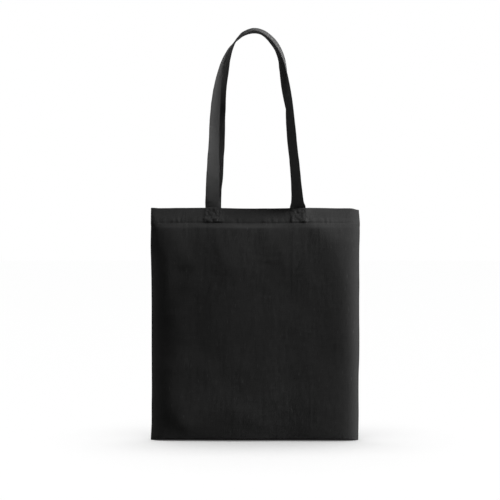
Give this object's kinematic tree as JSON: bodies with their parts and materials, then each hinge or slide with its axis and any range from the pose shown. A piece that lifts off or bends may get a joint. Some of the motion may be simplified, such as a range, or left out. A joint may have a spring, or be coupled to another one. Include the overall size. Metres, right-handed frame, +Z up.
{
  "type": "canvas tote bag",
  "caption": "Flat, open-topped tote bag of plain canvas with a folded hem and long shoulder handles that swing down over each face.",
  "frame": {"origin": "on the floor, under the middle of the bag, where its bottom seam rests", "axes": "+Z up, towards the handles; -Y is the front of the bag; +X to the right as one looks at the front"},
  "size_m": [0.376, 0.0584, 0.7475],
  "materials": {
    "canvas": "matt black plain-weave cotton canvas, lightly creased",
    "strap_canvas": "matt black cotton canvas, folded and sewn flat",
    "sewing_thread": "black spun thread with a slight sheen",
    "overlock_thread": "black overlock thread, looped over the raw edges"
  },
  "bodies": {
    "bag": {"front_panel": "canvas", "back_panel": "canvas", "front_hem": "canvas", "back_hem": "canvas", "left_seam_allowance": "canvas", "right_seam_allowance": "canvas", "bottom_seam_allowance": "canvas", "left_seam_overlock": "overlock_thread", "right_seam_overlock": "overlock_thread", "bottom_seam_overlock": "overlock_thread", "front_hem_stitching": "sewing_thread", "back_hem_stitching": "sewing_thread", "front_left_strap_end": "strap_canvas", "front_right_strap_end": "strap_canvas", "back_left_strap_end": "strap_canvas", "back_right_strap_end": "strap_canvas", "front_left_box_stitching": "sewing_thread", "front_right_box_stitching": "sewing_thread", "back_left_box_stitching": "sewing_thread", "back_right_box_stitching": "sewing_thread"},
    "front_handle": {"front_strap": "strap_canvas", "front_strap_stitching": "sewing_thread"},
    "back_handle": {"back_strap": "strap_canvas", "back_strap_stitching": "sewing_thread"}
  },
  "joints": [
    {"name": "front_handle_swing", "type": "hinge", "parent": "bag", "child": "front_handle", "pos_m": [0, -0.01006, 0.42], "axis": [1, 0, 0], "range_deg": [0, 150]},
    {"name": "back_handle_swing", "type": "hinge", "parent": "bag", "child": "back_handle", "pos_m": [0, 0.01007, 0.42], "axis": [-1, 0, 0], "range_deg": [0, 150]}
  ]
}
